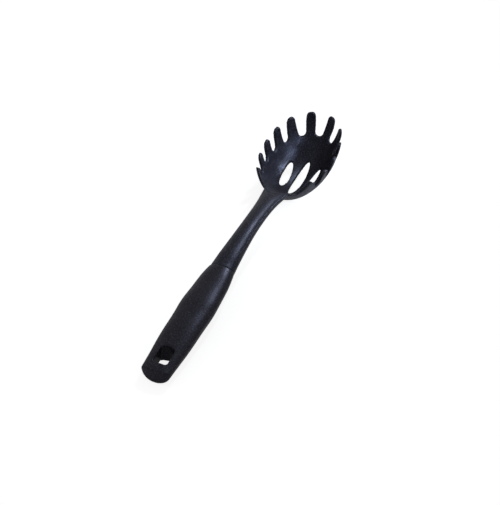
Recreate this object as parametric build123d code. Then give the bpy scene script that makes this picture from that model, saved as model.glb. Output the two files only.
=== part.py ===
"""Pasta server: a moulded bowl with twelve tines and three drain slots on a long neck, and a soft
grip with a hanging hole over a two-part core.

It lies on its back along X, butt at -X and bowl at +X, tines up, on the plane Z = 0.
All lengths are millimetres, and all angles degrees. Places along X are counted from the butt while
it is built, and all pieces move together to the middle of the whole tool at the end.
"""
import math
import os

from build123d import *

os.makedirs("parts", exist_ok=True)

# Lengths along the tool, from the butt
grip_length = 106.8
belly_place = 61.8
neck_length = 103.2
waist_place = 65.0

# Handle sizes at the butt, the belly, the seam, the waist and the root of the neck
butt_width = 20.2
butt_depth = 10.7
butt_top = 10.8
belly_width = 25.6
belly_depth = 16.4
belly_top = 19.1
seam_width = 19.2
seam_depth = 14.9
seam_top = 23.5
waist_width = 13.6
waist_depth = 9.9
waist_top = 28.9
root_width = 19.0
root_depth = 8.9
root_top = 27.7

# The step from the grip down to the neck at the seam, and the shape of the grip's ends
seam_step = 0.4
butt_curve = 29.0
butt_round = 0.8
lip_round = 0.3

# Bowl: a tilted egg shell, cut off along a rim through the tips of the tines
bowl_half_length = 59.6
bowl_half_width = 31.5
bowl_half_depth = 43.6
bowl_setback = 54.3
bowl_wall = 2.2
bowl_tilt = 1.8
rim_height = 22.4
nose_height = 43.1

# Gaps between the tines, as turns about the bowl from its nose
gap_turns = (27.8, 54.7, 76.7, 97.8, 118.0)
gap_radii = (4.2, 3.9, 4.0, 4.1, 4.2)
gap_flares = (9.0, 6.6, 6.4, 6.4, 5.6)
nose_gap_flare = 9.0
gap_floor = 21.9
gap_rise = 1.5
nose_gap_radius = 3.8
gap_lean = 4.6
tip_lean = 5.4
tip_side_bite = 0.55
tip_top_bite = 0.15
tip_side_spread = 5.5
tip_nose_spread = 21.0
first_tine_end = 24.0

# Spout through which the top of the neck runs down into the hollow of the bowl
spout_round = 14.0
spout_start = 6.3
spout_turn_radius = 17.8
spout_half_length = 20.0
spout_half_width = 13.0
spout_depth = 6.0

# Drain slots
middle_slot_length = 50.0
middle_slot_width = 7.7
middle_slot_place = 62.6
side_slot_length = 35.2
side_slot_width = 7.0
side_slot_place = 61.6
side_slot_offset = 11.6
side_slot_turn = 3.7
slot_draft = 4.0

# Hanging hole
hole_setback = 7.2
hole_width = 10.2
hole_side = 12.8
hole_arch = 2.4
hole_corner = 1.5

# Soft skin of the grip, and the two halves of its core
skin = 2.0
hole_liner = 1.4
core_wall = 2.2
hole_boss = 3.0
bulkhead = 4.0
rib = 1.8
rib_places = (54.0, 67.0, 80.0)
post_radius = 3.6
peg_radius = 2.0
peg_depth = 2.4

# Tang of the head, which lies between the core halves
tang_length = 74.0
tang_front_width = 9.6
tang_end_width = 8.0
tang_thickness = 3.6
window_length = 9.0
window_width = 4.4
window_places = (46.0, 88.0)

# Clearance between the core and the tang, and between a peg and its socket
fit = 0.1

# Overrun of every cutting tool past the faces that it cuts
overrun = 5.0

# Shape of a handle section: how much of the depth lies above its widest line, and how square it is
upper_share = 0.27
upper_squareness = 2.0
lower_squareness = 2.2
section_points = 28

# Stations between the named ones: place, width, top and depth, each as a share of the way between
butt_to_belly_shares = (
    (0.10, 0.126, 0.114, 0.18),
    (0.20, 0.233, 0.226, 0.364),
    (0.333, 0.437, 0.373, 0.545),
    (0.583, 0.73, 0.642, 0.8),
)
belly_to_seam_shares = (
    (0.333, 0.12, 0.353, 0.14),
    (0.667, 0.397, 0.68, 0.5),
    (0.849, 0.672, 0.89, 0.76),
    (0.955, 0.91, 0.975, 0.93),
)
seam_to_waist_shares = (
    (0.154, 0.214, 0.273, 0.12),
    (0.385, 0.563, 0.593, 0.39),
    (0.692, 0.92, 0.884, 0.745),
)
waist_to_root_shares = (
    (0.526, 0.248, 0.1, 0.56),
    (0.737, 0.535, 0.345, 0.78),
    (0.92, 0.864, 0.82, 0.94),
)

# Rim through the tips: place between the root and the nose, and height between the dip and the nose
rim_shares = (
    (-0.09, 0.25), (0.0, 0.18), (0.026, 0.12), (0.056, 0.04), (0.082, 0.005), (0.107, 0.0),
    (0.126, 0.105), (0.141, 0.245), (0.153, 0.37), (0.162, 0.445), (0.172, 0.47), (0.184, 0.42),
    (0.196, 0.33), (0.219, 0.255), (0.25, 0.35), (0.277, 0.48), (0.349, 0.535), (0.509, 0.705),
    (0.662, 0.85), (0.824, 0.97), (0.966, 1.0),
)

# A face of the rim looks upwards by at least this share
rim_upright_share = 0.9

# Places and stations that follow
root_place = grip_length + neck_length
bowl_place = root_place + bowl_setback
rear = bowl_place - bowl_half_length - overrun
nose = bowl_place + bowl_half_length + overrun
butt = (0.0, butt_width, butt_top, butt_depth)
belly = (belly_place, belly_width, belly_top, belly_depth)
seam = (grip_length, seam_width, seam_top, seam_depth)
neck_start = (grip_length, seam_width - 2 * seam_step, seam_top - seam_step / 2, seam_depth - seam_step)
waist = (grip_length + waist_place, waist_width, waist_top, waist_depth)
root = (root_place, root_width, root_top, root_depth)
neck_end = (root_place + 2 * overrun, root_width, root_top, root_depth)

# How far the curved butt stands out between its corners
butt_bulge = butt_curve - math.sqrt(butt_curve**2 - (butt_width / 2) ** 2)

# The bowl hangs so low that it would touch the plane Z = 0 beside its middle slot
tilt = math.radians(bowl_tilt)
lowest = math.hypot(bowl_half_length * math.sin(tilt), bowl_half_depth * math.cos(tilt))
bowl_height = lowest * math.sqrt(1 - (middle_slot_width / 2 / bowl_half_width) ** 2)

# Tilted middle plane of the grip, in which its core is split and the tang lies
split_start = butt_top - butt_depth / 2
split_end = seam_top - seam_depth / 2
split_tilt = math.degrees(math.atan2(split_end - split_start, grip_length))
split_run = math.hypot(grip_length, split_end - split_start)
split = Plane(Location((0, 0, split_start), (0, -split_tilt, 0)))


def stations(start, end, shares):
    """The start and the stations after it, up to the end but without it."""
    made = [start]
    for row in shares:
        made.append(tuple(a + (b - a) * share for a, b, share in zip(start, end, row)))
    return made


def section(station, inset=0.0):
    """A handle section: a low crown over round shoulders and a deep belly, as one closed wire."""
    place, width, top, depth = station
    half_width = width / 2 - inset
    upper = upper_share * depth - inset / 2
    lower = (1 - upper_share) * depth - 3 * inset / 2
    middle = top - inset - upper
    points = []
    for index in range(section_points):
        turn = 2 * math.pi * index / section_points
        across = math.cos(turn)
        up = math.sin(turn)
        squareness = upper_squareness if up > 0 else lower_squareness
        height = upper if up > 0 else lower
        y = half_width * math.copysign(abs(across) ** (2 / squareness), across)
        z = height * math.copysign(abs(up) ** (2 / squareness), up)
        points.append(Vector(place, y, middle + z))
    return Wire([Edge.make_spline(points, periodic=True)])


def egg(grow=0.0):
    """The bowl's outer egg, or with a negative value the hollow inside it."""
    ball = Solid.make_sphere(1, angle1=-90, angle2=90, angle3=360)
    shaped = scale(ball, by=(bowl_half_length + grow, bowl_half_width + grow, bowl_half_depth + grow))
    return Pos(bowl_place, 0, bowl_height) * Rot(0, bowl_tilt, 0) * shaped


def above_rim():
    """All that lies over the rim, which dips beside the neck, peaks at the first tines and rises to the nose."""
    rim_points = []
    for place_share, rise_share in rim_shares:
        rim_x = root_place + place_share * (bowl_setback + bowl_half_length)
        rim_points.append((rim_x, rim_height + rise_share * (nose_height - rim_height)))
    rim_line = Spline(*rim_points, (nose, nose_height))
    tall = 3 * bowl_half_depth
    over = Polyline(rim_line @ 1, (nose, tall), (rear, tall), rim_line @ 0)
    return extrude(Plane.XZ * make_face(rim_line + over), bowl_half_width + overrun, both=True)


def level_cut(height):
    """Where a level plane cuts the egg through the middle of its wall: centre along X and both half axes."""
    half_length = bowl_half_length - bowl_wall / 2
    half_width = bowl_half_width - bowl_wall / 2
    half_depth = bowl_half_depth - bowl_wall / 2
    along = (math.cos(tilt) / half_length) ** 2 + (math.sin(tilt) / half_depth) ** 2
    upright = (math.sin(tilt) / half_length) ** 2 + (math.cos(tilt) / half_depth) ** 2
    mixed = math.cos(tilt) * math.sin(tilt) * (1 / half_depth**2 - 1 / half_length**2)
    drop = height - bowl_height
    centre = bowl_place - mixed * drop / along
    spread = math.sqrt(1 - (upright - mixed**2 / along) * drop**2)
    return centre, spread / math.sqrt(along), spread * half_width


def gap_cutter(turn, radius, flare_turn):
    """A U-shaped cutter square to the wall: round at its floor, with sides that flare upwards."""
    angle = math.radians(turn)
    floor = gap_floor + gap_rise * math.cos(angle)
    centre, half_length, half_width = level_cut(floor)
    x = centre + half_length * math.cos(angle)
    y = half_width * math.sin(angle)
    facing = Vector(math.cos(angle) / half_length, math.sin(angle) / half_width, 0).normalized()
    start = Vector(x, y, floor + radius) - facing * 2 * overrun
    plane = Plane(origin=start, x_dir=(-facing.Y, facing.X, 0), z_dir=(facing.X, facing.Y, 0))
    flare = math.radians(flare_turn)
    foot = Vector(radius * math.cos(flare), -radius * math.sin(flare))
    head = Vector(foot.X + nose_height * math.tan(flare), foot.Y + nose_height)
    sides = make_face(Polyline(foot, head, (-head.X, head.Y), (-foot.X, foot.Y), close=True))
    lean = Rot(0, 0, -gap_lean * facing.Y * (1 + facing.X))
    return plane * lean * extrude(sides + Circle(radius), 4 * overrun)


def rim_corners(face):
    """The middles of the short edges that end a stretch of the rim, in order along X."""
    short = [edge for edge in face.edges() if edge.length < 2 * bowl_wall]
    return sorted([edge @ 0.5 for edge in short], key=lambda point: point.X)


def tip_cutter(rear_corner, front_corner):
    """What rounds the end of a tine: a block over it with a round left out of it, which widens outwards."""
    lean = tip_lean
    if rear_corner.Y > 0:
        rear_corner, front_corner = front_corner, rear_corner
        lean = -tip_lean
    span = front_corner - rear_corner
    outward = Vector(span.Y, -span.X, 0).normalized()
    origin = (rear_corner + front_corner) / 2 - outward * overrun
    plane = Plane(origin=origin, x_dir=(span.X, span.Y, 0), z_dir=outward)
    spread = tip_side_spread + (tip_nose_spread - tip_side_spread) * outward.X**2
    radius = span.length / 2 + tip_side_bite
    inner_radius = radius - overrun * math.tan(math.radians(spread))
    level = tip_top_bite - radius
    block = extrude(Rectangle(3 * radius, 2 * radius, align=(Align.CENTER, Align.MIN)), 2 * overrun)
    kept = extrude(Circle(inner_radius), 2 * overrun, taper=-spread)
    return plane * Rot(0, 0, lean * abs(outward.Y)) * Pos(0, level) * (block - kept)


def tip_cutters(body):
    """The cutters for all tines but the first two, placed at the stretches of rim that the gaps leave."""
    cutters = []
    for face in body.faces():
        centre = face.center()
        high = centre.X > root_place + first_tine_end and centre.Z > gap_floor + nose_gap_radius
        if high and face.normal_at().Z > rim_upright_share:
            corners = rim_corners(face)
            cutters.append(tip_cutter(corners[0], corners[1]))
    return cutters


def spout():
    """What takes off the edge between the top of the neck and the hollow of the bowl."""
    start = root_place - spout_start
    turn_place = root_place + spout_turn_radius
    bottom = root_top - spout_depth
    top = root_top + overrun
    block = Polyline((start, bottom), (turn_place, bottom), (turn_place, top), (start, top), close=True)
    profile = make_face(block) - Pos(start, root_top - spout_round) * Circle(spout_round)
    turned = revolve(Plane.XZ * profile, Axis((turn_place, 0, 0), (0, 0, 1)), 360)
    oval = Pos(start + spout_half_length, 0, 0) * Ellipse(spout_half_length, spout_half_width)
    return turned & extrude(oval, 2 * bowl_half_depth)


def slot_cutter(place, offset, turn, length, width):
    """An upright oval cutter through the bowl's floor, which widens downwards by the draft of its walls."""
    spread = overrun * math.tan(math.radians(slot_draft))
    levels = []
    for step in (-2, 3):
        plane = Plane(Location((root_place + place, offset, bowl_wall + step * overrun), (0, 0, turn)))
        levels.append(Wire.make_ellipse(length / 2 - step * spread, width / 2 - step * spread, plane))
    return Solid.make_loft(levels)


def tang_bar(extra=0.0):
    """The tang's tapered bar from its end in the core to its root in the neck, or its slot with a clearance."""
    end = split_run - tang_length - extra
    front = split_run + overrun
    half_front = tang_front_width / 2 + extra
    half_end = tang_end_width / 2 + extra
    outline = Polyline((end, -half_end), (front, -half_front), (front, half_front), (end, half_end), close=True)
    return split * extrude(make_face(outline), tang_thickness / 2 + extra, both=True)


def along_split(place, shape):
    """A shape put on the split plane, at a place that is counted along the grip."""
    return split * (Pos(place * split_run / grip_length, 0, 0) * shape)


def round_bar(place, radius, low, high):
    """A round bar square to the split plane, between two heights over that plane."""
    return along_split(place, Pos(0, 0, low) * extrude(Circle(radius), high - low))


def hanging_hole(extra=0.0):
    """The upright hole through the grip, straight at the butt end and arched at the other."""
    near = hole_setback - extra
    far = hole_setback + hole_side + extra
    half = hole_width / 2 + extra
    sides = Polyline((far, -half), (near, -half), (near, half), (far, half))
    arch = ThreePointArc((far, half), (far + hole_arch, 0), (far, -half))
    outline = make_face(sides + arch)
    rounded = fillet(outline.vertices(), hole_corner)
    return Pos(0, 0, -overrun) * extrude(rounded, seam_top + 2 * overrun)


def core_section(station):
    """A section of the core: the grip's own, inset by the skin and moved in from the butt by the same."""
    place, width, top, depth = station
    start = skin + butt_bulge / 2
    moved = start + (grip_length - start) * place / grip_length
    return section((moved, width, top, depth), skin)


# Head: bowl and neck in one, hollowed, with gaps, rounded tips, spout and slots, and the tang
neck_stations = stations(neck_start, waist, seam_to_waist_shares)
neck_stations += stations(waist, root, waist_to_root_shares) + [root, neck_end]
neck = Solid.make_loft([section(one) for one in neck_stations])
head = egg() - above_rim() + neck - egg(-bowl_wall)
gaps = [gap_cutter(0, nose_gap_radius, nose_gap_flare)]
for turn, radius, flare in zip(gap_turns, gap_radii, gap_flares):
    gaps.append(gap_cutter(turn, radius, flare))
    gaps.append(gap_cutter(-turn, radius, flare))
head -= gaps
head -= tip_cutters(head)
head -= spout()
head -= slot_cutter(middle_slot_place, 0, 0, middle_slot_length, middle_slot_width)
for side in (-1, 1):
    turn = side * side_slot_turn
    head -= slot_cutter(side_slot_place, side * side_slot_offset, turn, side_slot_length, side_slot_width)
tang = tang_bar()
for place in window_places:
    window = extrude(SlotOverall(window_length, window_width), tang_thickness, both=True)
    tang -= along_split(place, window)
head += tang

# Core: a stiff shell with a boss round the hanging hole, ribs, a bulkhead at the seam and two posts
grip_stations = stations(butt, belly, butt_to_belly_shares)
grip_stations += stations(belly, seam, belly_to_seam_shares) + [seam]
core_outer = Solid.make_loft([core_section(one) for one in grip_stations])
hollow_start = hole_setback + hole_side + hole_arch + hole_liner + hole_boss
hollow_stations = [one for one in grip_stations if one[0] > hollow_start]
hollow = Solid.make_loft([section(one, skin + core_wall) for one in hollow_stations])
plate = Rectangle(2 * belly_width, 2 * seam_top)
for place in rib_places:
    hollow -= Plane(origin=(place, 0, 0), z_dir=(1, 0, 0)) * extrude(plate, rib / 2, both=True)
hollow -= Plane(origin=(grip_length, 0, 0), z_dir=(1, 0, 0)) * extrude(plate, bulkhead, both=True)
for place in window_places:
    hollow -= round_bar(place, post_radius, -seam_top, seam_top)
core_body = core_outer - hanging_hole(hole_liner)
core = core_body - hollow - tang_bar(fit)
half_space = Box(2 * split_run, 2 * belly_width, 2 * seam_top)
core_top = core & (split * Pos(split_run / 2, 0, seam_top) * half_space)
core_bottom = core & (split * Pos(split_run / 2, 0, -seam_top) * half_space)
peg_end = -tang_thickness / 2 - peg_depth
for place in window_places:
    core_top += round_bar(place, peg_radius, peg_end, tang_thickness)
    core_bottom -= round_bar(place, peg_radius + fit, peg_end - fit, tang_thickness)

# Grip: the soft skin, with a blunt curved butt, rounded at both ends
disc = Pos(butt_curve, 0) * Circle(butt_curve)
rest = Pos(butt_curve, 0) * Rectangle(grip_length, 2 * butt_curve, align=(Align.MIN, Align.CENTER))
plan = Pos(0, 0, -overrun) * extrude(disc + rest, seam_top + 2 * overrun)
grip = Solid.make_loft([section(one) for one in grip_stations]) & plan
grip = fillet([edge for edge in grip.edges() if (edge @ 0.5).X < skin], butt_round)
grip = fillet([edge for edge in grip.edges() if edge.bounding_box().min.X > grip_length - lip_round], lip_round)
grip -= core_body
grip -= hanging_hole()

# All pieces stand on the plane Z = 0, with the middle of the whole tool over the origin
head_box = head.bounding_box()
grip_box = grip.bounding_box()
middle = (grip_box.min.X + head_box.max.X) / 2
shift = Pos(-middle, 0, -min(grip_box.min.Z, head_box.min.Z))
pieces = {"head": head, "handle_core_top": core_top, "handle_core_bottom": core_bottom, "soft_grip": grip}
for name, piece in pieces.items():
    export_step(shift * piece, "parts/" + name + ".step")
    print(name, piece.is_valid)
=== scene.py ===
"""Dresses the pasta server: its moulded head, its soft grip and the core inside, on a pale floor."""

import logging
import math
from dataclasses import dataclass
from enum import Enum

import bpy
from mathutils import Euler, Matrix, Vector

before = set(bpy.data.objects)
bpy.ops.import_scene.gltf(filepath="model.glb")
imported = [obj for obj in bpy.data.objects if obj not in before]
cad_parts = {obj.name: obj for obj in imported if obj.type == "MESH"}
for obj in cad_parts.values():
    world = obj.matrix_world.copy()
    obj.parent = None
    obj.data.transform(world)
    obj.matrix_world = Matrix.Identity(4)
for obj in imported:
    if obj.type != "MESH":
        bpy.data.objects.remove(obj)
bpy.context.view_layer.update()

MM = 0.001

Colour = tuple[float, float, float]
Point = tuple[float, float, float]

log = logging.getLogger("pasta_server")


class Grain(Enum):
    """Surface that the mould leaves on a piece."""

    SPARK_ERODED = "spark eroded"
    SATIN = "satin"
    TOOLED = "tooled"


class NodeSheet:
    """Adds and joins the nodes of one material, from the left to the right."""

    def __init__(self, name: str) -> None:
        """Starts an empty material.

        Args:
            name: the material's name.
        """
        self.material = bpy.data.materials.new(name)
        self.material.use_nodes = True
        self.tree = self.material.node_tree
        self.tree.nodes.clear()
        self.column = 0

    def add(self, kind: str, **settings: object) -> bpy.types.Node:
        """Adds one node with its settings.

        Args:
            kind: the node's type.
            **settings: attributes of the node and their values.

        Returns:
            The new node.
        """
        node = self.tree.nodes.new(kind)
        node.location = (self.column * 190, 0)
        self.column += 1
        for attribute, value in settings.items():
            setattr(node, attribute, value)
        return node

    def join(self, source: bpy.types.NodeSocket, target: bpy.types.NodeSocket) -> None:
        """Joins an output to an input."""
        self.tree.links.new(source, target)

    def noise(self, place: bpy.types.NodeSocket, size: float, detail: float, roughness: float) -> bpy.types.NodeSocket:
        """Adds a noise whose features have a real size.

        Args:
            place: the coordinates that it reads.
            size: the size of a feature, in metres.
            detail: how many finer layers it has.
            roughness: how strong the finer layers are.

        Returns:
            The noise's value, from 0 to 1.
        """
        node = self.add("ShaderNodeTexNoise")
        node.inputs["Scale"].default_value = 1 / size
        node.inputs["Detail"].default_value = detail
        node.inputs["Roughness"].default_value = roughness
        self.join(place, node.inputs["Vector"])
        return node.outputs["Fac"]

    def spread(self, value: bpy.types.NodeSocket, low: float, high: float, start: float, end: float) -> bpy.types.NodeSocket:
        """Maps a value from one range to another, smoothly and within its ends.

        Args:
            value: the value to map.
            low: the value that gives start.
            high: the value that gives end.
            start: the result at low.
            end: the result at high.

        Returns:
            The mapped value.
        """
        node = self.add("ShaderNodeMapRange", interpolation_type="SMOOTHSTEP")
        for name, number in (("From Min", low), ("From Max", high), ("To Min", start), ("To Max", end)):
            node.inputs[name].default_value = number
        self.join(value, node.inputs["Value"])
        return node.outputs["Result"]

    def blend(self, share: bpy.types.NodeSocket, first: Colour | bpy.types.NodeSocket, second: Colour) -> bpy.types.NodeSocket:
        """Mixes two colours.

        Args:
            share: how much of the second colour there is.
            first: a colour, or the output that gives it.
            second: the other colour.

        Returns:
            The mixed colour.
        """
        node = self.add("ShaderNodeMix", data_type="RGBA")
        self.join(share, node.inputs[0])
        if isinstance(first, tuple):
            node.inputs[6].default_value = (*first, 1)
        else:
            self.join(first, node.inputs[6])
        node.inputs[7].default_value = (*second, 1)
        return node.outputs[2]

    def raise_by(self, height: bpy.types.NodeSocket, depth: float, under: bpy.types.NodeSocket | None) -> bpy.types.NodeSocket:
        """Adds a bump.

        Args:
            height: its height, from 0 to 1.
            depth: what a height of 1 is, in metres.
            under: the normal of a coarser bump below it, or None.

        Returns:
            The bumped normal.
        """
        node = self.add("ShaderNodeBump")
        node.inputs["Distance"].default_value = depth
        self.join(height, node.inputs["Height"])
        if under is not None:
            self.join(under, node.inputs["Normal"])
        return node.outputs["Normal"]


@dataclass(frozen=True)
class MouldedFinish:
    """Finish of a moulded piece: a dark mass with pale specks, a grain from the mould, and a painted highlight on its
    sharp edges.

    Colours are linear, and lengths are metres.
    """

    name: str
    slot: str
    grain: Grain
    mass: Colour
    speck: Colour
    speck_size: float
    speck_share: float
    reflection: Colour
    gloss_level: float
    smooth: float
    rough: float
    grain_size: float
    grain_depth: float
    swell_size: float
    swell_depth: float
    # Painted highlight colour, and how much of it, for the sharp edges
    edge_highlight: Colour
    edge_highlight_share: float
    handled_size: float

    def material(self) -> bpy.types.Material:
        """Builds the finish.

        Returns:
            The material, which reads Object coordinates.
        """
        sheet = NodeSheet(self.name)
        place = sheet.add("ShaderNodeTexCoord").outputs["Object"]
        shader = sheet.add("ShaderNodeBsdfPrincipled")
        shader.inputs["Specular IOR Level"].default_value = self.gloss_level
        shader.inputs["Specular Tint"].default_value = (*self.reflection, 1)
        sheet.join(self.colour(sheet, place), shader.inputs["Base Color"])
        sheet.join(self.roughness(sheet, place), shader.inputs["Roughness"])
        sheet.join(self.normal(sheet, place), shader.inputs["Normal"])
        output = sheet.add("ShaderNodeOutputMaterial")
        sheet.join(shader.outputs["BSDF"], output.inputs["Surface"])
        return sheet.material

    def colour(self, sheet: NodeSheet, place: bpy.types.NodeSocket) -> bpy.types.NodeSocket:
        """Mixes specks into the mass, and pales the sharp edges as a painted highlight, where light would catch their
        rounding.

        Args:
            sheet: the nodes of the material.
            place: its coordinates.

        Returns:
            The colour.
        """
        specks = sheet.noise(place, self.speck_size, 2, 0.6)
        share = sheet.spread(specks, 0.45, 0.75, 0, self.speck_share)
        mixed = sheet.blend(share, self.mass, self.speck)
        # Painted highlight: the sharpest convex edges, found by pointiness, are paled as if light caught them
        edge = sheet.add("ShaderNodeNewGeometry").outputs["Pointiness"]
        edge_lit = sheet.spread(edge, 0.515, 0.58, 0, self.edge_highlight_share)
        return sheet.blend(edge_lit, mixed, self.edge_highlight)

    def roughness(self, sheet: NodeSheet, place: bpy.types.NodeSocket) -> bpy.types.NodeSocket:
        """Makes the places that hands and water have polished a little smoother.

        Args:
            sheet: the nodes of the material.
            place: its coordinates.

        Returns:
            The roughness.
        """
        handled = sheet.noise(place, self.handled_size, 3, 0.55)
        return sheet.spread(handled, 0.3, 0.7, self.smooth, self.rough)

    def normal(self, sheet: NodeSheet, place: bpy.types.NodeSocket) -> bpy.types.NodeSocket:
        """Lays the mould's grain over a faint swell of the skin.

        Args:
            sheet: the nodes of the material.
            place: its coordinates.

        Returns:
            The normal.
        """
        swell = sheet.raise_by(sheet.noise(place, self.swell_size, 1, 0.5), self.swell_depth, None)
        if self.grain is Grain.TOOLED:
            lines = sheet.add("ShaderNodeTexWave", bands_direction="Y")
            lines.inputs["Scale"].default_value = 1 / self.grain_size
            lines.inputs["Distortion"].default_value = 1.5
            sheet.join(place, lines.inputs["Vector"])
            return sheet.raise_by(lines.outputs["Fac"], self.grain_depth, swell)
        detail = 3 if self.grain is Grain.SPARK_ERODED else 1
        fine = sheet.noise(place, self.grain_size, detail, 0.65)
        return sheet.raise_by(fine, self.grain_depth, swell)


NYLON = MouldedFinish(
    name="nylon",
    slot="nylon",
    grain=Grain.SPARK_ERODED,
    mass=(0.0090, 0.0072, 0.0120),
    speck=(0.085, 0.085, 0.108),
    speck_size=1.0 * MM,
    speck_share=1.0,
    reflection=(0.66, 0.71, 1.0),
    gloss_level=0.55,
    smooth=0.31,
    rough=0.37,
    grain_size=0.85 * MM,
    grain_depth=0.070 * MM,
    swell_size=1.6 * MM,
    swell_depth=0.035 * MM,
    edge_highlight=(0.030, 0.030, 0.040),
    edge_highlight_share=0.6,
    handled_size=22 * MM,
)

SOFT_TOUCH = MouldedFinish(
    name="soft_touch",
    slot="soft_touch",
    grain=Grain.SATIN,
    mass=(0.0135, 0.0120, 0.0160),
    speck=(0.075, 0.075, 0.088),
    speck_size=1.0 * MM,
    speck_share=1.0,
    reflection=(0.70, 0.72, 1.0),
    gloss_level=0.5,
    smooth=0.28,
    rough=0.33,
    grain_size=0.85 * MM,
    grain_depth=0.060 * MM,
    swell_size=1.8 * MM,
    swell_depth=0.030 * MM,
    edge_highlight=(0.028, 0.027, 0.034),
    edge_highlight_share=0.6,
    handled_size=30 * MM,
)

CORE_PLASTIC = MouldedFinish(
    name="core_plastic",
    slot="core_plastic",
    grain=Grain.TOOLED,
    mass=(0.030, 0.030, 0.032),
    speck=(0.050, 0.050, 0.052),
    speck_size=0.9 * MM,
    speck_share=0.5,
    reflection=(1.0, 1.0, 1.0),
    gloss_level=0.5,
    smooth=0.38,
    rough=0.50,
    grain_size=0.8 * MM,
    grain_depth=0.010 * MM,
    swell_size=3.0 * MM,
    swell_depth=0.010 * MM,
    edge_highlight=(0.070, 0.070, 0.075),
    edge_highlight_share=0.4,
    handled_size=15 * MM,
)


@dataclass
class Moulding:
    """One moulded piece of the tool, whose edges come out of the mould softly rounded."""

    node: str
    finish: MouldedFinish
    cell: float
    softening: int
    strength: float = 0.5
    refill: float = 0.10 * MM
    body: str = "root"

    def piece(self) -> bpy.types.Object:
        """Gives the piece's object."""
        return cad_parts[self.node]

    def soften(self) -> None:
        """Rounds all sharp edges by an even skin of small cells, which is then smoothed."""
        piece = self.piece()
        weld = piece.modifiers.new("merged", "WELD")
        weld.merge_threshold = 0.002 * MM
        skin = piece.modifiers.new("even_skin", "REMESH")
        skin.mode = "VOXEL"
        skin.voxel_size = self.cell
        skin.use_smooth_shade = True
        ease = piece.modifiers.new("eased_edges", "SMOOTH")
        ease.factor = self.strength
        ease.iterations = self.softening
        refill = piece.modifiers.new("refilled", "DISPLACE")
        refill.mid_level = 0.0
        refill.strength = self.refill

    def dress(self) -> None:
        """Gives the piece its finish."""
        piece = self.piece()
        piece.data.materials.clear()
        piece.data.materials.append(self.finish.material())

    def build(self) -> bpy.types.Object:
        """Rounds and dresses the piece.

        Returns:
            The piece's object.
        """
        if self.softening:
            self.soften()
        self.dress()
        log.info("%s: finish %s, cells of %.2f mm", self.node, self.finish.name, self.cell / MM)
        return self.piece()


@dataclass
class Head:
    """Bowl, tines, neck and tang, which are one nylon moulding."""

    cell: float = 0.58 * MM
    softening: int = 3

    def build(self) -> list[bpy.types.Object]:
        """Builds the moulding.

        Returns:
            Its piece.
        """
        return [Moulding("head", NYLON, self.cell, self.softening).build()]


@dataclass
class Grip:
    """Soft grip, and the two halves of its core."""

    cell: float = 0.50 * MM
    softening: int = 3

    def build(self) -> list[bpy.types.Object]:
        """Builds the grip's skin and its core.

        Returns:
            Their pieces.
        """
        skin = Moulding("soft_grip", SOFT_TOUCH, self.cell, self.softening).build()
        halves = [Moulding(name, CORE_PLASTIC, self.cell, 0).build() for name in ("handle_core_top", "handle_core_bottom")]
        return [skin, *halves]


@dataclass
class Softbox:
    """One plain studio light, which faces the tool."""

    name: str
    place: Point
    aim: Point
    width: float
    height: float
    power: float
    beam: float
    colour: Colour

    def build(self) -> bpy.types.Object:
        """Hangs the light.

        Returns:
            The light's object.
        """
        bpy.ops.object.light_add(type="AREA", location=self.place)
        lamp = bpy.context.object
        lamp.name = self.name
        lamp.data.shape = "RECTANGLE"
        lamp.data.size = self.width
        lamp.data.size_y = self.height
        lamp.data.energy = self.power
        lamp.data.spread = math.radians(self.beam)
        lamp.data.color = self.colour
        lamp.rotation_euler = (Vector(self.aim) - Vector(self.place)).to_track_quat("-Z", "Y").to_euler()
        return lamp


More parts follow.
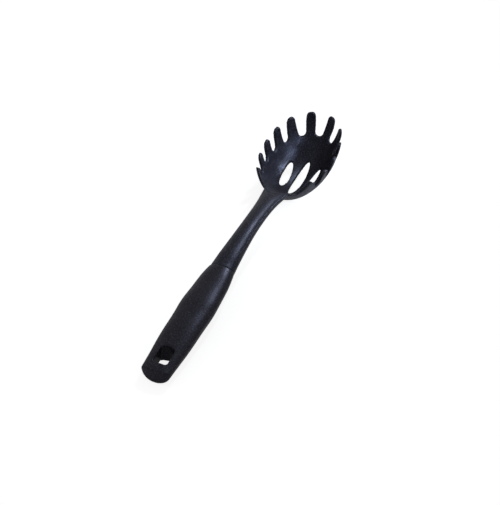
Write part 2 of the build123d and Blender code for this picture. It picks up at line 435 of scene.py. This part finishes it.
@dataclass
class Studio:
    """Pale floor, plain soft light and camera."""

    floor_side: float = 40.0
    floor_colour: Colour = (0.55, 0.55, 0.55)
    floor_glow: float = 0.85
    mirrored_share: float = 0.12
    world_level: float = 0.24
    camera_place: Point = (-0.584637, -0.214120, 0.453735)
    camera_turn: Point = (53.7952, -3.2728, -67.5604)
    photo_height: int = 505
    focal_pixels: float = 1000.0
    sensor: float = 36.0
    bowl_middle: Point = (0.115, 0.0, 0.02)
    key_turns: tuple[float, ...] = (42.0, 62.0, 82.0)
    key_lift: float = 27.0
    key_distance: float = 0.42

    def floor(self) -> bpy.types.Object:
        """Lays the floor, which the camera and reflections see white, with the tool's soft shadow on it.

        Returns:
            The floor's object.
        """
        bpy.ops.object.select_all(action="DESELECT")
        bpy.ops.mesh.primitive_plane_add(size=self.floor_side)
        floor = bpy.context.object
        floor.name = "studio_floor"
        sheet = NodeSheet("studio_floor")
        paper = sheet.add("ShaderNodeBsdfDiffuse")
        paper.inputs["Color"].default_value = (*self.floor_colour, 1)
        glow = sheet.add("ShaderNodeEmission")
        rays = sheet.add("ShaderNodeLightPath")
        mirrored = sheet.add("ShaderNodeMath", operation="MULTIPLY")
        sheet.join(rays.outputs["Is Glossy Ray"], mirrored.inputs[0])
        mirrored.inputs[1].default_value = self.mirrored_share
        seen = sheet.add("ShaderNodeMath", operation="MAXIMUM")
        sheet.join(rays.outputs["Is Camera Ray"], seen.inputs[0])
        sheet.join(mirrored.outputs[0], seen.inputs[1])
        level = sheet.add("ShaderNodeMath", operation="MULTIPLY")
        sheet.join(seen.outputs[0], level.inputs[0])
        level.inputs[1].default_value = self.floor_glow
        sheet.join(level.outputs[0], glow.inputs["Strength"])
        both = sheet.add("ShaderNodeAddShader")
        sheet.join(paper.outputs[0], both.inputs[0])
        sheet.join(glow.outputs[0], both.inputs[1])
        output = sheet.add("ShaderNodeOutputMaterial")
        sheet.join(both.outputs[0], output.inputs["Surface"])
        floor.data.materials.append(sheet.material)
        return floor

    def sky(self) -> None:
        """Lights the tool evenly from all round, and shows white to the camera."""
        world = bpy.data.worlds.new("studio")
        bpy.context.scene.world = world
        world.use_nodes = True
        tree = world.node_tree
        tree.nodes.clear()
        rays = tree.nodes.new("ShaderNodeLightPath")
        even = tree.nodes.new("ShaderNodeBackground")
        even.inputs["Strength"].default_value = self.world_level
        white = tree.nodes.new("ShaderNodeBackground")
        white.inputs["Strength"].default_value = 1.0
        for shade in (even, white):
            shade.inputs["Color"].default_value = (1, 1, 1, 1)
        seen = tree.nodes.new("ShaderNodeMixShader")
        output = tree.nodes.new("ShaderNodeOutputWorld")
        tree.links.new(rays.outputs["Is Camera Ray"], seen.inputs[0])
        tree.links.new(even.outputs[0], seen.inputs[1])
        tree.links.new(white.outputs[0], seen.inputs[2])
        tree.links.new(seen.outputs[0], output.inputs["Surface"])

    def lights(self) -> list[bpy.types.Object]:
        """Hangs the softboxes.

        Returns:
            Their objects.
        """
        boxes = [
            Softbox("band", (0.90, -0.05, 0.98), (0.0, 0, 0.02), 0.08, 0.20, 0.25, 60.0, (0.80, 0.87, 1.0)),
            Softbox("side", (0.95, 0.80, 0.30), (0.0, 0, 0.02), 0.9, 0.4, 0.16, 120.0, (1.0, 1.0, 1.0)),
        ]
        for turn in self.key_turns:
            angle = math.radians(turn)
            reach = self.key_distance * math.cos(math.radians(self.key_lift))
            place = (
                self.bowl_middle[0] + reach * math.cos(angle),
                self.bowl_middle[1] - reach * math.sin(angle),
                self.bowl_middle[2] + self.key_distance * math.sin(math.radians(self.key_lift)),
            )
            boxes.append(Softbox("key", place, self.bowl_middle, 0.15, 0.10, 0.011, 17.0, (0.74, 0.83, 1.0)))
        return [box.build() for box in boxes]

    def camera(self) -> bpy.types.Object:
        """Sets the camera where the photograph was taken from.

        Returns:
            The camera's object.
        """
        bpy.ops.object.camera_add(location=self.camera_place)
        camera = bpy.context.object
        camera.rotation_euler = Euler([math.radians(turn) for turn in self.camera_turn])
        camera.data.sensor_width = self.sensor
        camera.data.lens = self.focal_pixels * self.sensor / self.photo_height
        bpy.context.scene.camera = camera
        return camera

    def build(self) -> None:
        """Sets up the floor, the light and the camera."""
        self.camera()
        self.floor()
        self.sky()
        self.lights()
        bpy.context.scene.view_settings.view_transform = "Standard"
        log.info("studio: camera, floor and lights")


def main() -> None:
    """Builds the studio and every piece of the tool, and reports each."""
    logging.basicConfig(level=logging.INFO, format="%(name)s: %(message)s")
    Studio().build()
    for assembly in (Head(), Grip()):
        for piece in assembly.build():
            log.info("%s rides on root", piece.name)


if __name__ == "__main__":
    main()
